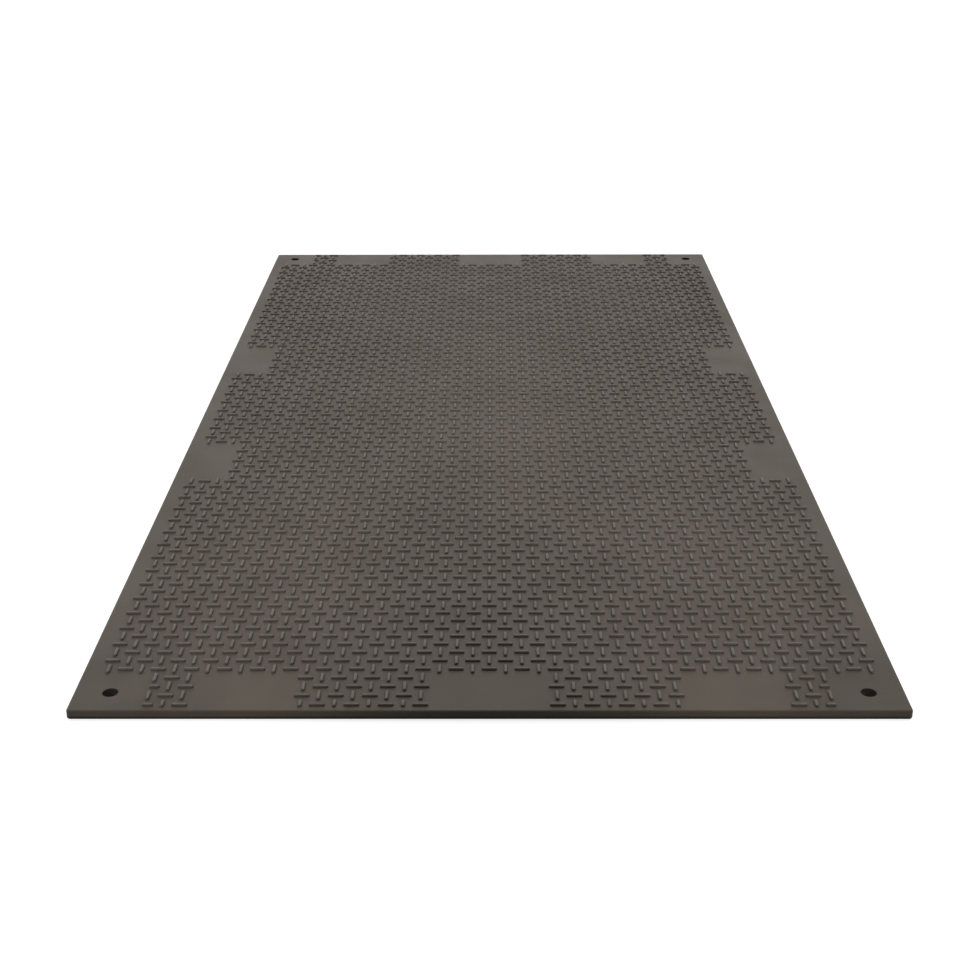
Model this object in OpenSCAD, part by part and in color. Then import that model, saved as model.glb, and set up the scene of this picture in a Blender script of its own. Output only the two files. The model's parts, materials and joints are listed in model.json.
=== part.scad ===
// Ground protection mat: one moulded polyethylene sheet, laid flat.
// The origin is the centre of the underside, +Z is up and the length runs along Y.

/* [Sheet] */
// Width of the mat
sheet_w = 1220; // [600:10:2000]
// Length of the mat
sheet_l = 2440; // [1000:10:3600]
// Thickness of the sheet under its tread
sheet_t = 15; // [8:0.1:25]

/* [Edges] */
// Radius of the four corners, seen from above
corner_r = 6; // [4:0.5:40]
// Radius that breaks the top edge all round
top_edge_r = 3; // [0.5:0.1:3.5]
// Radius that breaks the bottom edge all round
bottom_edge_r = 3; // [0.5:0.1:3.5]

/* [Tie holes] */
// Diameter of the hole in each corner, for a tie bolt or a ground peg
hole_d = 22; // [8:0.5:30]
// Distance from the side edge to the middle of a hole
hole_inset_x = 54; // [30:1:80]
// Distance from the end edge to the middle of a hole
hole_inset_y = 50; // [30:1:80]
// Chamfer round both mouths of a hole
hole_chamfer = 1; // [0.2:0.1:2]

/* [Hidden] */
$fn = 64;
half_w = sheet_w / 2;
half_l = sheet_l / 2;
hole_x = half_w - hole_inset_x;
hole_y = half_l - hole_inset_y;
// How far a cutter runs past the face that it opens
overcut = 1;

// Section of the sheet's rim: its inner side is at x = 0, its outer face at x = reach.
module rim_section(reach) {
    translate([0, bottom_edge_r])
        square([reach, sheet_t - top_edge_r - bottom_edge_r]);
    translate([0, sheet_t / 2])
        square([reach - top_edge_r, sheet_t / 2]);
    square([reach - bottom_edge_r, sheet_t / 2]);
    // The rounds may be wider than the rim, and only their part inside it is wanted.
    intersection() {
        square([reach, sheet_t]);
        union() {
            translate([reach - top_edge_r, sheet_t - top_edge_r])
                circle(top_edge_r);
            translate([reach - bottom_edge_r, bottom_edge_r])
                circle(bottom_edge_r);
        }
    }
}

// One straight side of the rim, run_l long, centred on the X axis with its face at x = out.
module rim_side(out, run_l) {
    translate([out - corner_r, run_l / 2, 0])
        rotate([90, 0, 0])
            linear_extrude(run_l)
                rim_section(corner_r);
}

// One rounded corner of the rim, in the +X +Y quarter.
module rim_corner() {
    translate([half_w - corner_r, half_l - corner_r, 0])
        rotate_extrude(angle = 90)
            rim_section(corner_r);
}

// The whole sheet before it is drilled.
module blank() {
    inner_w = sheet_w - 2 * corner_r;
    inner_l = sheet_l - 2 * corner_r;
    translate([-inner_w / 2, -inner_l / 2, 0])
        cube([inner_w, inner_l, sheet_t]);
    for (turn = [0, 180])
        rotate([0, 0, turn]) {
            rim_side(half_w, inner_l);
            rim_corner();
        }
    for (turn = [90, 270])
        rotate([0, 0, turn])
            rim_side(half_l, inner_w);
    for (turn = [0, 180])
        rotate([0, 0, turn])
            mirror([1, 0, 0])
                rim_corner();
}

// Cutter for one tie hole: a bore with a chamfer at both mouths.
module tie_hole() {
    bore_r = hole_d / 2;
    mouth_r = bore_r + hole_chamfer;
    translate([0, 0, -overcut])
        cylinder(h = sheet_t + 2 * overcut, r = bore_r);
    translate([0, 0, sheet_t - hole_chamfer])
        cylinder(h = hole_chamfer + overcut, r1 = bore_r, r2 = mouth_r + overcut);
    translate([0, 0, -overcut])
        cylinder(h = hole_chamfer + overcut, r1 = mouth_r + overcut, r2 = bore_r);
}

module mat() {
    color([0.12, 0.11, 0.095])
        difference() {
            blank();
            for (x = [-hole_x, hole_x], y = [-hole_y, hole_y])
                translate([x, y, 0])
                    tie_hole();
        }
}

mat();
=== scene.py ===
"""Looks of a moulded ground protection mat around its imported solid.

The solid gives the sheet, its rim and its tie holes. This script adds the shallow moulded
tread as real geometry, finishes every surface in matte polyethylene, and sets a plain studio
and the camera. All lengths are metres in the part's own frame: +Z up, +Y along the mat.
"""

from __future__ import annotations

import json
import logging
import math
from dataclasses import dataclass, field
from enum import Enum

import bpy
import numpy as np
from mathutils import Matrix, Vector

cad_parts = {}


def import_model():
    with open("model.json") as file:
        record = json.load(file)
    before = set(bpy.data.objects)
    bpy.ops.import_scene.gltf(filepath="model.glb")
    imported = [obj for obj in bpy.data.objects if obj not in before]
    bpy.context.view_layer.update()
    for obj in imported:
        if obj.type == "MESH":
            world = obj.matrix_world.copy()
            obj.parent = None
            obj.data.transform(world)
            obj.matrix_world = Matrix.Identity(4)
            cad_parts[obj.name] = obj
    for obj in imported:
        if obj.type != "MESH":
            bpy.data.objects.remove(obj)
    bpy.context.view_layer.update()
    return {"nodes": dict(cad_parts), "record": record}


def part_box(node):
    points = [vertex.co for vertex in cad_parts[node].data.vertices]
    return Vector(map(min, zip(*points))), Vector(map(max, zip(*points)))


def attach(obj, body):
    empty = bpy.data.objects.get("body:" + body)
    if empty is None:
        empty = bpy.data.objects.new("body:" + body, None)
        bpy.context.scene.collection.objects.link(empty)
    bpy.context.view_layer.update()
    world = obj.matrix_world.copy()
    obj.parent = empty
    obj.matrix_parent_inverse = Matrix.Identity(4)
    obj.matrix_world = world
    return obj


LOG = logging.getLogger("ground_mat")
SHEET_NODE = "mat"
BODY = "root"
MM = 0.001

Pair = tuple[float, float]
Triple = tuple[float, float, float]
Socket = bpy.types.NodeSocket
Tree = bpy.types.NodeTree


class BarRun(Enum):
    """Direction in which a tread bar runs; the value is its parity in the chequered layout."""

    LONG = 0
    CROSS = 1


def fill_mesh(name: str, points: np.ndarray, quads: np.ndarray) -> bpy.types.Object:
    """Puts numpy points and four-sided faces into a new smooth-shaded mesh object.

    Args:
        name: Name of the object and its mesh.
        points: Array of n by 3 positions.
        quads: Array of m by 4 point numbers, anticlockwise seen from outside.

    Returns:
        The object, linked to the scene and standing at the origin.
    """
    mesh = bpy.data.meshes.new(name)
    mesh.vertices.add(len(points))
    mesh.vertices.foreach_set("co", points.astype(np.float32).ravel())
    mesh.loops.add(quads.size)
    mesh.loops.foreach_set("vertex_index", quads.astype(np.int32).ravel())
    mesh.polygons.add(len(quads))
    mesh.polygons.foreach_set("loop_start", np.arange(0, quads.size, 4, dtype=np.int32))
    mesh.polygons.foreach_set("loop_total", np.full(len(quads), 4, dtype=np.int32))
    mesh.polygons.foreach_set("use_smooth", np.ones(len(quads), dtype=bool))
    mesh.update(calc_edges=True)
    mesh.validate()
    piece = bpy.data.objects.new(name, mesh)
    bpy.context.scene.collection.objects.link(piece)
    return piece


def math_node(
    tree: Tree,
    operation: str,
    first: Socket | float,
    second: Socket | float = 0.0,
    third: Socket | float = 0.0,
    clamp: bool = False,
) -> Socket:
    """Adds a Math node fed by sockets or plain numbers.

    Args:
        tree: Node tree to add to.
        operation: Blender's name of the operation.
        first: First socket or number.
        second: Second socket or number, for an operation that reads two.
        third: Third socket or number, for an operation that reads three.
        clamp: Whether to keep the result between 0 and 1.

    Returns:
        The node's result.
    """
    node = tree.nodes.new("ShaderNodeMath")
    node.operation = operation
    node.use_clamp = clamp
    for value, socket in zip((first, second, third), node.inputs):
        if isinstance(value, Socket):
            tree.links.new(value, socket)
        else:
            socket.default_value = value
    return node.outputs["Value"]


@dataclass(frozen=True)
class Noise:
    """Settings of a noise texture.

    Attributes:
        scale: Cells a metre.
        detail: Octaves of finer noise.
        stretch: Factor on each axis; a small one draws the pattern out along it.
    """

    scale: float
    detail: float = 2.0
    stretch: Triple = (1.0, 1.0, 1.0)


def noise_node(tree: Tree, place: Socket, noise: Noise) -> Socket:
    """Adds a noise texture on stretched coordinates.

    Args:
        tree: Node tree to add to.
        place: Coordinates to read.
        noise: The texture's settings.

    Returns:
        The noise's value from 0 to 1.
    """
    mapping = tree.nodes.new("ShaderNodeMapping")
    mapping.inputs["Scale"].default_value = noise.stretch
    tree.links.new(place, mapping.inputs["Vector"])
    texture = tree.nodes.new("ShaderNodeTexNoise")
    texture.inputs["Scale"].default_value = noise.scale
    texture.inputs["Detail"].default_value = noise.detail
    tree.links.new(mapping.outputs["Vector"], texture.inputs["Vector"])
    return texture.outputs["Fac"]


def ramp_node(tree: Tree, value: Socket, step: Pair) -> Socket:
    """Adds a smooth step: three times the square of the way through it, less twice the cube.

    Args:
        tree: Node tree to add to.
        value: Value to read.
        step: The values that give 0 and 1; the first one may be the larger.

    Returns:
        The step's result.
    """
    node = tree.nodes.new("ShaderNodeMapRange")
    node.interpolation_type = "SMOOTHSTEP"
    node.inputs["From Min"].default_value, node.inputs["From Max"].default_value = step
    tree.links.new(value, node.inputs["Value"])
    return node.outputs["Result"]


def distance_node(tree: Tree, off_x: Socket, off_y: Socket) -> Socket:
    """Adds a distance: the square root of the sum of the squares of two offsets.

    Args:
        tree: Node tree to add to.
        off_x: Offset across the mat.
        off_y: Offset along the mat.

    Returns:
        The distance.
    """
    square = math_node(tree, "MULTIPLY", off_y, off_y)
    square = math_node(tree, "MULTIPLY_ADD", off_x, off_x, square)
    return math_node(tree, "SQRT", square)


def mix_node(tree: Tree, first: Socket | Triple, second: Triple, share: Socket) -> Socket:
    """Adds a mix of two colours.

    Args:
        tree: Node tree to add to.
        first: Colour where the share is 0, plain or from a socket.
        second: Plain colour where the share is 1.
        share: Share of the second colour.

    Returns:
        The mixed colour.
    """
    node = tree.nodes.new("ShaderNodeMix")
    node.data_type = "RGBA"
    if isinstance(first, Socket):
        tree.links.new(first, node.inputs["A"])
    else:
        node.inputs["A"].default_value = (*first, 1.0)
    node.inputs["B"].default_value = (*second, 1.0)
    tree.links.new(share, node.inputs["Factor"])
    return node.outputs["Result"]


def grey(level: float) -> tuple[float, float, float, float]:
    """Gives an opaque grey of one level."""
    return (level, level, level, 1.0)


def seen_rays(tree: Tree) -> Socket:
    """Gives 1 for rays from the camera, a gloss or a clear body, and 0 for all others.

    Args:
        tree: Node tree to add to.

    Returns:
        The mask.
    """
    path = tree.nodes.new("ShaderNodeLightPath")
    gloss = math_node(
        tree, "MAXIMUM", path.outputs["Is Glossy Ray"], path.outputs["Is Transmission Ray"]
    )
    return math_node(tree, "MAXIMUM", path.outputs["Is Camera Ray"], gloss)


@dataclass(frozen=True)
class TreadLayout:
    """Where the bars of the tread stand: a chequered grid with smooth pads left out of it.

    Columns are counted across the mat and rows along it, both from the middle, so that the
    layout is the same seen from either side and either end.

    Attributes:
        columns: Cells across the mat.
        full_rows: Rows of cells that run over the whole width.
        end_rows: Rows that stand in the tabs alone, at each end.
        column_pitch: Width of a cell.
        row_pitch: Length of a cell.
        bar_length: Length of a bar.
        side_pad_columns: Columns that a smooth pad takes, from the side inwards.
        side_pad_rows: First and last row of a side pad, counted from the middle.
        narrow_tab: First and last column of a narrow tab, counted from the side.
        wide_tab: First and last column of a wide tab, counted from the side.
        tab_corner_cut: What a narrow tab's outermost cross bars lack in length.
        end_bar_cut: What the last row's long bars lack in length.
    """

    columns: int = 47
    full_rows: int = 89
    end_rows: int = 4
    column_pitch: float = 24.9 * MM
    row_pitch: float = 25.1 * MM
    bar_length: float = 24.0 * MM
    side_pad_columns: int = 3
    side_pad_rows: tuple[int, int] = (9, 15)
    narrow_tab: tuple[int, int] = (3, 5)
    wide_tab: tuple[int, int] = (12, 19)
    tab_corner_cut: float = 8.0 * MM
    end_bar_cut: float = 6.5 * MM

    def bars(self, run: BarRun) -> tuple[np.ndarray, np.ndarray]:
        """Lists the bars that run one way.

        A cell holds a long bar where its column and row numbers add up to an even number and
        a cross bar where the sum is odd. The outermost bars of each end tab are cut short on
        their outer side, which moves their middle by half of the cut.

        Args:
            run: Which of the two directions to list.

        Returns:
            The bars' middles, n by 2, and their lengths, n.
        """
        last_column = self.columns // 2
        last_full_row = self.full_rows // 2
        last_row = last_full_row + self.end_rows
        column, row = np.meshgrid(
            np.arange(-last_column, last_column + 1),
            np.arange(-last_row, last_row + 1),
            indexing="ij",
        )
        from_side = last_column - np.abs(column)
        from_middle = np.abs(row)
        in_pad = (
            (from_side < self.side_pad_columns)
            & (from_middle >= self.side_pad_rows[0])
            & (from_middle <= self.side_pad_rows[1])
        )
        in_tab = np.zeros(column.shape, dtype=bool)
        for first, last in (self.narrow_tab, self.wide_tab):
            in_tab |= (from_side >= first) & (from_side <= last)
        end_zone = from_middle > last_full_row
        kept = np.where(end_zone, in_tab, ~in_pad)
        parity = (column + row + last_column + last_full_row) % 2
        kept &= parity == run.value

        length = np.full(column.shape, self.bar_length)
        middle_x = column * self.column_pitch
        middle_y = row * self.row_pitch
        if run is BarRun.CROSS:
            cut = np.where(end_zone & (from_side == self.narrow_tab[0]), self.tab_corner_cut, 0.0)
            middle_x -= np.sign(column) * cut / 2
        else:
            cut = np.where(from_middle == last_row, self.end_bar_cut, 0.0)
            middle_y -= np.sign(row) * cut / 2
        length -= cut
        return np.stack([middle_x[kept], middle_y[kept]], axis=1), length[kept]


@dataclass(frozen=True)
class BarSection:
    """One moulded bar: a rounded ridge on a rounded oblong foot.

    Each ring stands in from the foot by its inset and up from the sheet by its height. The
    first ring is below the sheet's face, so that no gap shows under the bar.

    Attributes:
        width: Width of the foot.
        foot_radius: Radius of the foot's corners.
        insets: How far each ring stands in from the foot.
        heights: How high each ring stands above the sheet's face.
        points_per_corner: Points of a ring round each of its four corners.
    """

    width: float = 6.4 * MM
    foot_radius: float = 2.8 * MM
    insets: tuple[float, ...] = (0.0, 0.8 * MM, 1.4 * MM, 2.2 * MM)
    heights: tuple[float, ...] = (-0.4 * MM, 2.4 * MM, 3.15 * MM, 3.5 * MM)
    points_per_corner: int = 3

    def shells(
        self, middles: np.ndarray, lengths: np.ndarray, top: float, run: BarRun
    ) -> tuple[np.ndarray, np.ndarray]:
        """Works out all the bars that run one way as closed shells.

        A point of a ring is the corner's centre, which lies the corner radius inside the foot,
        plus the corner radius less the ring's inset, times the cosine and sine of the angle
        round the corner. The same ring is used for every bar, with the corner's centre moved
        along by half of the bar's own length.

        Args:
            middles: The bars' middles, n by 2.
            lengths: The bars' lengths, n.
            top: Height of the sheet's face.
            run: Direction of the bars.

        Returns:
            Points and four-sided faces of all the shells.
        """
        corner = np.repeat(np.arange(4), self.points_per_corner)
        step = np.tile(np.linspace(0.0, 1.0, self.points_per_corner), 4)
        angle = (corner + step) * (math.pi / 2)
        side_along = np.where((corner == 0) | (corner == 3), 1.0, -1.0)
        side_across = np.where(corner < 2, 1.0, -1.0)
        radius = self.foot_radius - np.array(self.insets)[:, None]

        across = side_across * (self.width / 2 - self.foot_radius) + radius * np.sin(angle)
        along = side_along * (lengths[:, None, None] / 2 - self.foot_radius)
        along = along + radius * np.cos(angle)
        across = np.broadcast_to(across, along.shape)
        height = np.array(self.heights)[:, None] + top
        height = np.broadcast_to(height, along.shape)
        off_x, off_y = (along, across) if run is BarRun.CROSS else (-across, along)
        points = np.stack(
            [off_x + middles[:, 0, None, None], off_y + middles[:, 1, None, None], height],
            axis=-1,
        )
        return points.reshape(-1, 3), self._faces(len(middles))

    def _faces(self, count: int) -> np.ndarray:
        """Numbers the faces of all the shells.

        A band joins each ring to the next. The crown and the foot are each closed by a strip
        of faces that runs from one end of the bar to the other, each between a point on one
        side and its mirror point on the other.

        Args:
            count: How many shells there are.

        Returns:
            Four-sided faces as point numbers.
        """
        around = 4 * self.points_per_corner
        rings = len(self.heights)
        here = np.arange(around)
        after = (here + 1) % around
        level = np.arange(rings - 1)[:, None] * around
        bands = np.stack(
            [level + here, level + after, level + around + after, level + around + here],
            axis=-1,
        ).reshape(-1, 4)
        near = np.arange(around // 2 - 1)
        mirror = around - 1 - near
        strip = np.stack([near, near + 1, mirror - 1, mirror], axis=-1)
        crown = strip + (rings - 1) * around
        foot = strip[:, ::-1]
        one = np.concatenate([bands, crown, foot])
        first = np.arange(count)[:, None, None] * (around * rings)
        return (one + first).reshape(-1, 4)


@dataclass
class SurfaceGroups:
    """Node groups that every polyethylene surface shares, with the settings of each effect.

    A pair of numbers that ends in step gives the values at which a smooth step is 0 and 1.

    Attributes:
        high: The sheet's highest corner; its height is that of the face under the tread.
        hole: Place of the tie hole nearest that corner.
        mouth: Radius of a tie hole's mouth.
    """

    high: Vector
    hole: Vector
    mouth: float

    # Painted highlight on the bars' crowns: height above the sheet's face, and the noise that
    # breaks it up
    crown_step: Pair = (2.6 * MM, 3.4 * MM)
    crown_noise: Noise = Noise(35.0)
    crown_noise_step: Pair = (0.15, 0.6)

    # Painted shade and stain: distance outwards from the outline, height above the ground,
    # distance from a hole
    mouth_blur: float = 0.2 * MM
    rim_step: Pair = (-4.0 * MM, -3.0 * MM)
    foot_step: Pair = (6.3 * MM, 4.7 * MM)
    stain_step: Pair = (240.0 * MM, 60.0 * MM)
    stain_noise: Noise = Noise(14.0)
    stain_noise_step: Pair = (0.1, 0.6)
    stain_share: float = 0.22

    # Tone and gloss of the moulded plastic
    clouds: Noise = Noise(4.0, 3.0)
    streaks: Noise = Noise(22.0, 2.0, (1.0, 0.12, 1.0))
    streak_weight: float = 0.35
    specks: Noise = Noise(420.0, 1.0)
    speck_weight: float = 0.25
    tone_step: Pair = (0.55, 1.05)
    gloss_noise: Noise = Noise(9.0)
    gloss_step: Pair = (0.3, 0.7)

    # Rub marks, and the patches that they keep to
    marks_along: Noise = Noise(260.0, 2.0, (1.0, 0.05, 1.0))
    marks_across: Noise = Noise(240.0, 2.0, (0.06, 1.0, 1.0))
    mark_step: Pair = (0.62, 0.72)
    worn_patches: Noise = Noise(5.5)
    worn_step: Pair = (0.52, 0.7)

    # Grain
    pores: Noise = Noise(900.0)
    ripple: Noise = Noise(60.0, 1.0)
    ripple_weight: float = 0.8

    def __post_init__(self) -> None:
        """Builds each group once."""
        self.crown = self._crown()
        self.shade_and_stain = self._shade_and_stain()
        self.mottle = self._mottle()
        self.scuffs = self._scuffs()
        self.grain = self._grain()

    @staticmethod
    def place(tree: Tree, group: Tree, coordinates: Socket) -> bpy.types.Node:
        """Puts a group into a material and feeds it the surface's coordinates.

        Args:
            tree: The material's node tree.
            group: The group to place.
            coordinates: Object coordinates.

        Returns:
            The group's node.
        """
        node = tree.nodes.new("ShaderNodeGroup")
        node.node_tree = group
        tree.links.new(coordinates, node.inputs["Place"])
        return node

    @staticmethod
    def _start(name: str, outputs: tuple[str, ...]) -> tuple[Tree, Socket, bpy.types.Node]:
        """Opens a node group that reads a place and puts out plain values.

        Args:
            name: Name of the group.
            outputs: Names of the values.

        Returns:
            The group, the socket that holds the place, and the node that takes the values.
        """
        group = bpy.data.node_groups.new(name, "ShaderNodeTree")
        group.interface.new_socket("Place", in_out="INPUT", socket_type="NodeSocketVector")
        for output in outputs:
            group.interface.new_socket(output, in_out="OUTPUT", socket_type="NodeSocketFloat")
        start = group.nodes.new("NodeGroupInput")
        end = group.nodes.new("NodeGroupOutput")
        return group, start.outputs["Place"], end

    def _crown(self) -> Tree:
        """Makes the painted crown highlight: a smooth step up the last of the tread's height.

        The step is multiplied by noise, so that the highlight is uneven from bar to bar.

        Returns:
            The group, with a mask.
        """
        group, place, end = self._start("painted_crown_highlight", ("Mask",))
        parts = group.nodes.new("ShaderNodeSeparateXYZ")
        group.links.new(place, parts.inputs["Vector"])
        rise = math_node(group, "SUBTRACT", parts.outputs["Z"], self.high.z)
        crest = ramp_node(group, rise, self.crown_step)
        noise = noise_node(group, place, self.crown_noise)
        uneven = ramp_node(group, noise, self.crown_noise_step)
        group.links.new(math_node(group, "MULTIPLY", crest, uneven), end.inputs["Mask"])
        return group

    def _shade_and_stain(self) -> Tree:
        """Makes the painted shade in the holes and along the rim's foot, and the near end's faint
        stain.

        The holes' mask is 1 where the distance from the nearest hole's axis is less than the
        mouth's radius. The rim's is 1 within a few millimetres of both the outline and the
        ground. The stain fades out with the distance from the holes of the near end. The
        absolute values of X and Y fold all four corners onto one.

        Returns:
            The group, with a mask.
        """
        group, place, end = self._start("painted_shade_and_stain", ("Mask",))
        parts = group.nodes.new("ShaderNodeSeparateXYZ")
        group.links.new(place, parts.inputs["Vector"])
        across = math_node(group, "ABSOLUTE", parts.outputs["X"])
        along = math_node(group, "ABSOLUTE", parts.outputs["Y"])
        off_x = math_node(group, "SUBTRACT", across, self.hole.x)
        off_y = math_node(group, "SUBTRACT", along, self.hole.y)
        # Painted shade inside the tie holes.
        mouth_step = (self.mouth + self.mouth_blur, self.mouth - self.mouth_blur)
        in_hole = ramp_node(group, distance_node(group, off_x, off_y), mouth_step)

        # Painted shade along the lowest few millimetres of the rim's outer faces.
        out_x = math_node(group, "SUBTRACT", across, self.high.x)
        out_y = math_node(group, "SUBTRACT", along, self.high.y)
        at_rim = ramp_node(group, math_node(group, "MAXIMUM", out_x, out_y), self.rim_step)
        low = ramp_node(group, parts.outputs["Z"], self.foot_step)
        foot = math_node(group, "MULTIPLY", at_rim, low)
        darkened = math_node(group, "MAXIMUM", in_hole, foot)

        off_near = math_node(group, "ADD", parts.outputs["Y"], self.hole.y)
        stain = ramp_node(group, distance_node(group, off_x, off_near), self.stain_step)
        noise = noise_node(group, place, self.stain_noise)
        stain = math_node(group, "MULTIPLY", stain, ramp_node(group, noise, self.stain_noise_step))
        stain = math_node(group, "MULTIPLY", stain, self.stain_share)
        group.links.new(math_node(group, "MAXIMUM", darkened, stain), end.inputs["Mask"])
        return group

    def _mottle(self) -> Tree:
        """Makes the broad cloudy tone with flow streaks along the mat, and slow changes of gloss.

        The tone is a smooth step of clouds plus weighted streaks plus weighted specks.

        Returns:
            The group, with a tone and a gloss.
        """
        group, place, end = self._start("cloudy_mottle", ("Tone", "Gloss"))
        clouds = noise_node(group, place, self.clouds)
        streaks = noise_node(group, place, self.streaks)
        specks = noise_node(group, place, self.specks)
        broad = math_node(group, "MULTIPLY_ADD", streaks, self.streak_weight, clouds)
        tone = math_node(group, "MULTIPLY_ADD", specks, self.speck_weight, broad)
        group.links.new(ramp_node(group, tone, self.tone_step), end.inputs["Tone"])
        gloss = noise_node(group, place, self.gloss_noise)
        group.links.new(ramp_node(group, gloss, self.gloss_step), end.inputs["Gloss"])
        return group

    def _scuffs(self) -> Tree:
        """Makes sparse fine rub marks: thin drawn-out noise, kept only inside worn patches.

        Returns:
            The group, with a mask.
        """
        group, place, end = self._start("rub_marks", ("Mask",))
        along = noise_node(group, place, self.marks_along)
        across = noise_node(group, place, self.marks_across)
        marks = ramp_node(group, math_node(group, "MAXIMUM", along, across), self.mark_step)
        worn = ramp_node(group, noise_node(group, place, self.worn_patches), self.worn_step)
        group.links.new(math_node(group, "MULTIPLY", marks, worn), end.inputs["Mask"])
        return group

    def _grain(self) -> Tree:
        """Makes the leathery moulded grain: pores plus a weighted broader ripple.

        Returns:
            The group, with a height.
        """
        group, place, end = self._start("moulded_grain", ("Height",))
        pores = noise_node(group, place, self.pores)
        ripple = noise_node(group, place, self.ripple)
        height = math_node(group, "MULTIPLY_ADD", ripple, self.ripple_weight, pores)
        group.links.new(height, end.inputs["Height"])
        return group


@dataclass(frozen=True)
class PlasticFinish:
    """A moulded polyethylene surface: its colours, its gloss and how strongly each effect shows.

    Attributes:
        name: Name of the material.
        base: Colour of the clean plastic.
        pale: Colour that mottle, rub marks and the painted crown highlight draw it towards.
        roughness: Roughness where the gloss is highest.
        roughness_swing: What the dullest places add to it.
        mottle_share: Strength of the mottle.
        scuff_share: Strength of the rub marks.
        crown_share: Strength of the painted highlight on the bars' crowns.
        shade_and_stain_share: Strength of the painted shade and the stain.
        grain_height: Depth of the grain.
        shade_and_stain: Colour of the painted shade and the stain.
        specular: Level of the shader's mirror reflection.
    """

    name: str
    base: Triple
    pale: Triple
    roughness: float
    roughness_swing: float
    mottle_share: float
    scuff_share: float
    crown_share: float
    shade_and_stain_share: float
    grain_height: float
    # Near-black colour of the painted shade and of the stain.
    shade_and_stain: Triple = (0.013, 0.010, 0.008)
    specular: float = 0.14

    def build(self, groups: SurfaceGroups) -> bpy.types.Material:
        """Builds the material from the shared node groups.

        Args:
            groups: The node groups that all the plastic surfaces share.

        Returns:
            The material.
        """
        material = bpy.data.materials.new(self.name)
        material.use_nodes = True
        tree = material.node_tree
        tree.nodes.clear()
        place = tree.nodes.new("ShaderNodeTexCoord").outputs["Object"]
        mottle = groups.place(tree, groups.mottle, place)
        grain = groups.place(tree, groups.grain, place)

        shine = math_node(tree, "MULTIPLY", mottle.outputs["Gloss"], self.roughness_swing)
        rough = math_node(tree, "ADD", shine, self.roughness)
        bump = tree.nodes.new("ShaderNodeBump")
        bump.inputs["Distance"].default_value = self.grain_height
        tree.links.new(grain.outputs["Height"], bump.inputs["Height"])

        surface = tree.nodes.new("ShaderNodeBsdfPrincipled")
        surface.inputs["Specular IOR Level"].default_value = self.specular
        colour = self._colour(tree, groups, place, mottle.outputs["Tone"])
        tree.links.new(colour, surface.inputs["Base Color"])
        tree.links.new(rough, surface.inputs["Roughness"])
        tree.links.new(bump.outputs["Normal"], surface.inputs["Normal"])
        output = tree.nodes.new("ShaderNodeOutputMaterial")
        tree.links.new(surface.outputs["BSDF"], output.inputs["Surface"])
        return material

    def _colour(self, tree: Tree, groups: SurfaceGroups, place: Socket, tone: Socket) -> Socket:
        """Mixes in the pale colour by tone, rub marks and painted highlight; lays painted shade
        and stain over it.

        Args:
            tree: The material's node tree.
            groups: The shared node groups.
            place: Object coordinates.
            tone: The mottle's tone.

        Returns:
            The surface's colour.
        """
        scuffs = groups.place(tree, groups.scuffs, place)
        crown = groups.place(tree, groups.crown, place)
        # Painted shade in the holes and along the rim's foot, with the near end's stain.
        darkening = groups.place(tree, groups.shade_and_stain, place)
        cloudy = math_node(tree, "MULTIPLY", tone, self.mottle_share)
        marked = math_node(tree, "MULTIPLY", scuffs.outputs["Mask"], self.scuff_share)
        # The crown share paints a highlight along the top of each bar.
        highlighted = math_node(tree, "MULTIPLY", crown.outputs["Mask"], self.crown_share)
        darkened = math_node(tree, "MULTIPLY", darkening.outputs["Mask"], self.shade_and_stain_share)
        # The pale share adds the mottle, the real rub marks and the painted crown highlight.
        worn = math_node(tree, "ADD", cloudy, marked, clamp=True)
        worn = math_node(tree, "ADD", worn, highlighted, clamp=True)
        tint = mix_node(tree, self.base, self.pale, worn)
        return mix_node(tree, tint, self.shade_and_stain, darkened)


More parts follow.
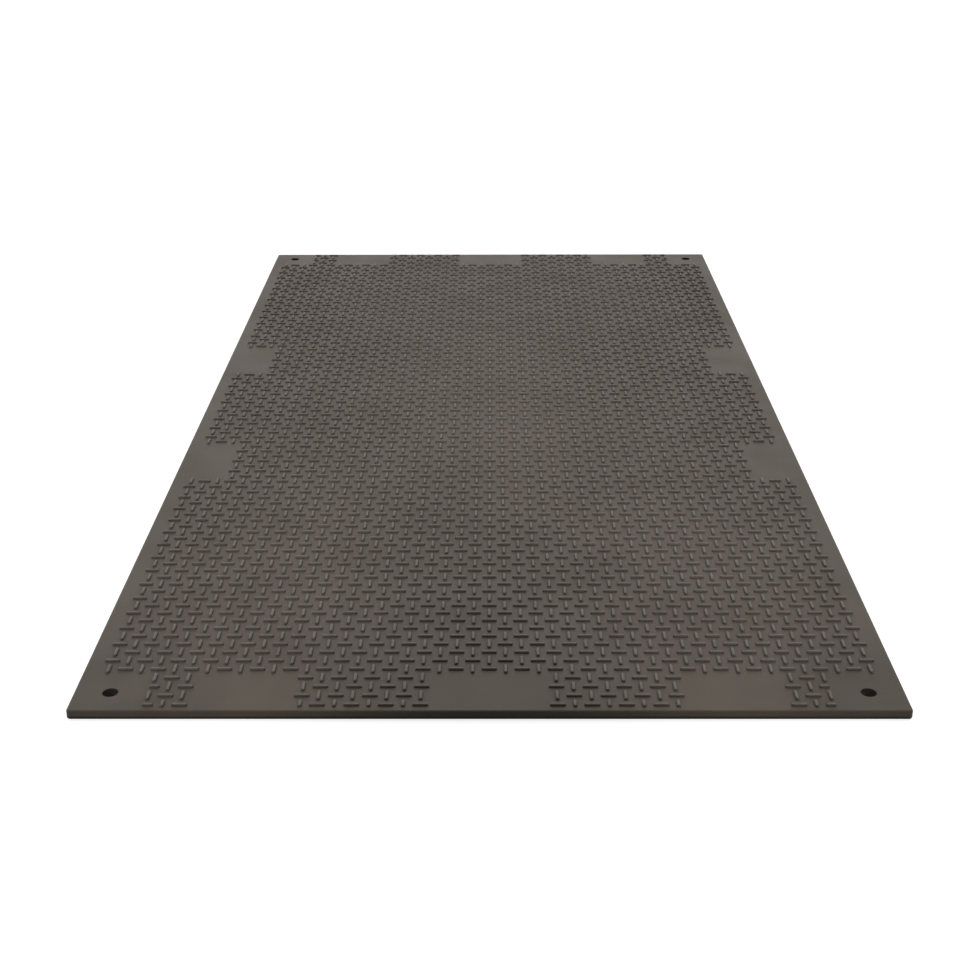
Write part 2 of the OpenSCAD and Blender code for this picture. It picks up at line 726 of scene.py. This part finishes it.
@dataclass
class Mat:
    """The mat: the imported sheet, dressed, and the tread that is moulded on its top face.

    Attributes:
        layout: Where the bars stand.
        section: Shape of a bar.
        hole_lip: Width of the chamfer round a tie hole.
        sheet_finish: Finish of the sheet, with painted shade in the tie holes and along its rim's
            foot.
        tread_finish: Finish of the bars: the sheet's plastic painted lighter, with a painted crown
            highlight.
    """

    layout: TreadLayout = field(default_factory=TreadLayout)
    section: BarSection = field(default_factory=BarSection)
    hole_lip: float = 1.0 * MM
    sheet_finish: PlasticFinish = PlasticFinish(
        name="matte_polyethylene",
        base=(0.067, 0.0535, 0.0395),
        pale=(0.105, 0.087, 0.0685),
        roughness=0.42,
        roughness_swing=0.10,
        mottle_share=0.32,
        scuff_share=0.15,
        crown_share=0.0,
        # Full painted shade in the holes and along the rim's foot, with the stain.
        shade_and_stain_share=1.0,
        grain_height=0.12 * MM,
    )
    tread_finish: PlasticFinish = PlasticFinish(
        name="tread_polyethylene_painted_light",
        # The bars' base and pale are painted lighter than the sheet's same plastic, to offset the
        # shade on the bars.
        base=(0.0735, 0.0620, 0.0545),
        pale=(0.121, 0.1040, 0.0935),
        roughness=0.36,
        roughness_swing=0.10,
        mottle_share=0.32,
        scuff_share=0.20,
        # Paints a highlight along the bars' crowns.
        crown_share=0.6,
        shade_and_stain_share=0.0,
        grain_height=0.10 * MM,
    )

    def build(self, sheet: bpy.types.Object, mounts: list[dict]) -> list[bpy.types.Object]:
        """Dresses the sheet and adds both sets of bars.

        Args:
            sheet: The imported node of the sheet.
            mounts: The record's mounts, the tie holes among them.

        Returns:
            The mat's pieces.
        """
        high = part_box(SHEET_NODE)[1]
        hole = next(mount for mount in mounts if mount["kind"] == "bore")
        middle = Vector([abs(value) for value in hole["pos_m"]])
        groups = SurfaceGroups(high, middle, hole["dims"]["r_mm"] * MM + self.hole_lip)
        plastic = self.sheet_finish.build(groups)
        for slot in sheet.material_slots:
            slot.material = plastic
        # The bars' material: the sheet's plastic painted lighter, with a painted crown highlight.
        highlighted = self.tread_finish.build(groups)
        bars = [self._bars(run, high.z, highlighted) for run in (BarRun.CROSS, BarRun.LONG)]
        return [sheet, *bars]

    def _bars(self, run: BarRun, top: float, finish: bpy.types.Material) -> bpy.types.Object:
        """Models all the bars that run one way as one piece.

        Args:
            run: Direction of the bars.
            top: Height of the sheet's face.
            finish: Material of the bars.

        Returns:
            The piece.
        """
        middles, lengths = self.layout.bars(run)
        points, faces = self.section.shells(middles, lengths, top, run)
        piece = fill_mesh(f"tread_{run.name.lower()}_bars", points, faces)
        piece.data.materials.append(finish)
        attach(piece, BODY)
        return piece


@dataclass(frozen=True)
class Sky:
    """A world with one broad bright patch high beyond the far end, and dim elsewhere.

    The patch's strength depends on the cosine of the angle between a direction and the patch's
    middle: it rises smoothly from nothing at the rim to the full strength at the core.

    Attributes:
        toward: Direction of the patch's middle.
        rim_to_core: Cosines at the patch's rim and at its core.
        patch: Strength that the patch adds at its core.
        fill: Strength that comes from everywhere.
    """

    toward: Triple = (0.0, 0.940, 0.342)
    rim_to_core: Pair = (0.10, 0.70)
    patch: float = 2.16
    fill: float = 0.10

    def build(self) -> None:
        """Builds the world; the camera, mirror rays and clear bodies see plain white instead."""
        world = bpy.data.worlds.new("studio_sky")
        bpy.context.scene.world = world
        world.use_nodes = True
        tree = world.node_tree
        tree.nodes.clear()
        closeness = tree.nodes.new("ShaderNodeVectorMath")
        closeness.operation = "DOT_PRODUCT"
        closeness.inputs[1].default_value = self.toward
        direction = tree.nodes.new("ShaderNodeTexCoord").outputs["Generated"]
        tree.links.new(direction, closeness.inputs[0])
        patch = ramp_node(tree, closeness.outputs["Value"], self.rim_to_core)
        strength = math_node(tree, "MULTIPLY_ADD", patch, self.patch, self.fill)
        sky = tree.nodes.new("ShaderNodeBackground")
        sky.inputs["Color"].default_value = grey(1.0)
        tree.links.new(strength, sky.inputs["Strength"])
        plain = tree.nodes.new("ShaderNodeBackground")
        plain.inputs["Color"].default_value = grey(1.0)
        pick = tree.nodes.new("ShaderNodeMixShader")
        tree.links.new(seen_rays(tree), pick.inputs["Fac"])
        tree.links.new(sky.outputs["Background"], pick.inputs[1])
        tree.links.new(plain.outputs["Background"], pick.inputs[2])
        output = tree.nodes.new("ShaderNodeOutputWorld")
        tree.links.new(pick.outputs["Shader"], output.inputs["Surface"])


@dataclass(frozen=True)
class FillLamp:
    """A low soft spot lamp, with a cone that fades out towards its rim.

    Attributes:
        name: Name of the lamp.
        place: Where it hangs.
        aim: Point that it lights.
        cone: Full angle of its cone in degrees.
        watts: Its power.
        radius: Radius of its source, which softens the shadows.
    """

    name: str
    place: Triple
    aim: Triple
    cone: float
    watts: float
    radius: float = 0.15

    def build(self) -> None:
        """Hangs the lamp and turns it to what it lights; it leaves no glare on the plastic."""
        lamp = bpy.data.lights.new(self.name, "SPOT")
        lamp.spot_size = math.radians(self.cone)
        lamp.spot_blend = 1.0
        lamp.shadow_soft_size = self.radius
        lamp.energy = self.watts
        holder = bpy.data.objects.new(self.name, lamp)
        holder.location = self.place
        toward = Vector(self.aim) - Vector(self.place)
        holder.rotation_euler = toward.to_track_quat("-Z", "Y").to_euler()
        holder.visible_glossy = False
        bpy.context.scene.collection.objects.link(holder)


@dataclass(frozen=True)
class Studio:
    """A white floor, a soft back light, low fill lamps and a camera at the photograph's view.

    Attributes:
        floor_half: Half of the floor's side.
        floor_gap: How far the floor lies under the mat.
        floor_bounce: Grey that the rays which carry light meet.
        floor_shade: Grey that takes the mat's shadow for the camera.
        floor_glow: Strength that lifts that grey to white.
        lamps: The fill lamps.
        camera_place: Where the camera stands.
        camera_down: Degrees that it looks down.
        camera_turn: Degrees that it turns to the left.
        camera_roll: Degrees that it rolls.
        lens_px: Focal length in pixels of the image.
        image_px: Longer side of the image in pixels.
        film_mm: Size of that side on the film.
        view_reach: Farthest distance that the camera sees.
        sky: The world's light.
    """

    floor_half: float = 30.0
    floor_gap: float = 0.2 * MM
    floor_bounce: float = 0.08
    floor_shade: float = 0.34
    floor_glow: float = 0.80
    lamps: tuple[FillLamp, ...] = (
        FillLamp("near_left_fill", (-1.3, -3.1, 1.0), (-0.42, -0.9, 0.0), 20.0, 98.0),
        FillLamp("near_right_fill", (1.3, -3.1, 1.0), (0.42, -0.9, 0.0), 20.0, 98.0),
        FillLamp("middle_left_fill", (-0.8, -4.2, 1.1), (-0.2, 0.4, 0.0), 14.0, 440.0),
        FillLamp("middle_right_fill", (0.8, -4.2, 1.1), (0.2, 0.4, 0.0), 14.0, 440.0),
        FillLamp("far_left_fill", (-1.4, -4.2, 1.1), (-0.62, 1.5, 0.0), 15.0, 235.0),
        FillLamp("far_right_fill", (1.4, -4.2, 1.1), (0.62, 1.5, 0.0), 15.0, 235.0),
        FillLamp("back_left_fill", (-2.0, 4.0, 1.2), (-0.5, 0.6, 0.0), 24.0, 90.0),
        FillLamp("back_right_fill", (2.0, 4.0, 1.2), (0.5, 0.6, 0.0), 24.0, 90.0),
    )
    camera_place: Triple = (0.0045, -3.1195, 1.2118)
    camera_down: float = 23.921
    camera_turn: float = 0.2847
    camera_roll: float = -0.1512
    lens_px: float = 1546.7
    image_px: float = 971.0
    film_mm: float = 36.0
    view_reach: float = 100.0
    sky: Sky = Sky()

    def build(self) -> None:
        """Builds the floor, the sky, the lamps and the camera."""
        self._floor()
        self.sky.build()
        for lamp in self.lamps:
            lamp.build()
        self._camera()

    def _floor(self) -> None:
        """Lays a large level floor just under the mat."""
        half = self.floor_half
        low = -self.floor_gap
        corner_points = np.array(
            [[-half, -half, low], [half, -half, low], [half, half, low], [-half, half, low]]
        )
        floor = fill_mesh("studio_floor", corner_points, np.array([[0, 1, 2, 3]]))
        floor.data.materials.append(self._floor_finish())

    def _floor_finish(self) -> bpy.types.Material:
        """Makes a floor that the camera sees as white, with the mat's shadow on it.

        The rays that carry light meet a darker floor, so that little light comes from below.

        Returns:
            The material.
        """
        material = bpy.data.materials.new("studio_white")
        material.use_nodes = True
        tree = material.node_tree
        tree.nodes.clear()
        bounce = tree.nodes.new("ShaderNodeBsdfDiffuse")
        bounce.inputs["Color"].default_value = grey(self.floor_bounce)
        shade = tree.nodes.new("ShaderNodeBsdfDiffuse")
        shade.inputs["Color"].default_value = grey(self.floor_shade)
        glow = tree.nodes.new("ShaderNodeEmission")
        glow.inputs["Strength"].default_value = self.floor_glow
        seen = tree.nodes.new("ShaderNodeAddShader")
        tree.links.new(shade.outputs["BSDF"], seen.inputs[0])
        tree.links.new(glow.outputs["Emission"], seen.inputs[1])
        pick = tree.nodes.new("ShaderNodeMixShader")
        tree.links.new(seen_rays(tree), pick.inputs["Fac"])
        tree.links.new(bounce.outputs["BSDF"], pick.inputs[1])
        tree.links.new(seen.outputs["Shader"], pick.inputs[2])
        output = tree.nodes.new("ShaderNodeOutputMaterial")
        tree.links.new(pick.outputs["Shader"], output.inputs["Surface"])
        return material

    def _camera(self) -> None:
        """Stands the camera in front of the near end, looking down along the mat."""
        camera = bpy.data.cameras.new("studio_camera")
        camera.sensor_width = self.film_mm
        camera.lens = self.lens_px / self.image_px * self.film_mm
        camera.clip_end = self.view_reach
        holder = bpy.data.objects.new("studio_camera", camera)
        holder.matrix_world = (
            Matrix.Translation(self.camera_place)
            @ Matrix.Rotation(math.radians(self.camera_turn), 4, "Z")
            @ Matrix.Rotation(math.radians(90.0 - self.camera_down), 4, "X")
            @ Matrix.Rotation(math.radians(self.camera_roll), 4, "Z")
        )
        bpy.context.scene.collection.objects.link(holder)
        bpy.context.scene.camera = holder


def main() -> None:
    """Loads the frame, builds the mat and the studio, and logs each piece's face count."""
    logging.basicConfig(level=logging.INFO, format="%(name)s: %(message)s")
    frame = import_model()
    bpy.context.scene.view_settings.view_transform = "Standard"
    Studio().build()
    for piece in Mat().build(frame["nodes"][SHEET_NODE], frame["record"]["mounts"]):
        LOG.info("%s: %d faces", piece.name, len(piece.data.polygons))


if __name__ == "__main__":
    main()
